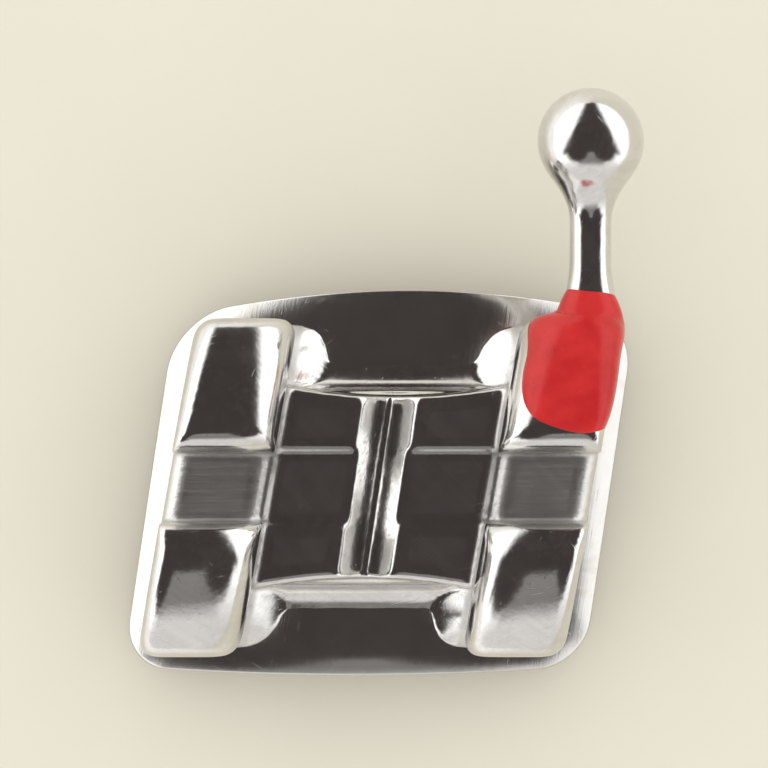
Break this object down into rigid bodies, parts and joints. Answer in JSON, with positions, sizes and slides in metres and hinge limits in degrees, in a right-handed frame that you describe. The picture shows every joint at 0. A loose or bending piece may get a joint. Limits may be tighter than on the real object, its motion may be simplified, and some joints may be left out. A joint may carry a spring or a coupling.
{
  "type": "orthodontic bracket",
  "caption": "Metal orthodontic bracket with tie wings either side of an edgewise archwire slot, a ball hook, a red paint mark and a curved, gauze-backed bonding base.",
  "frame": {"origin": "under the middle of the bonding base, on the plane that the rim of its gauze rests on", "axes": "+X along the archwire slot, distally; +Y to the gum, the way the hook points; +Z away from the tooth"},
  "size_m": [0.0042, 0.0047, 0.0021],
  "materials": {
    "polished_steel": "tumbled and polished stainless steel",
    "foil_steel": "smooth stamped stainless foil",
    "wire_steel": "dull brazed wire gauze",
    "red_paint": "glossy epoxy paint"
  },
  "bodies": {
    "root": {"bracket_body": "polished_steel", "base_foil": "foil_steel", "retention_mesh": "wire_steel", "colour_mark": "red_paint"}
  },
  "joints": []
}
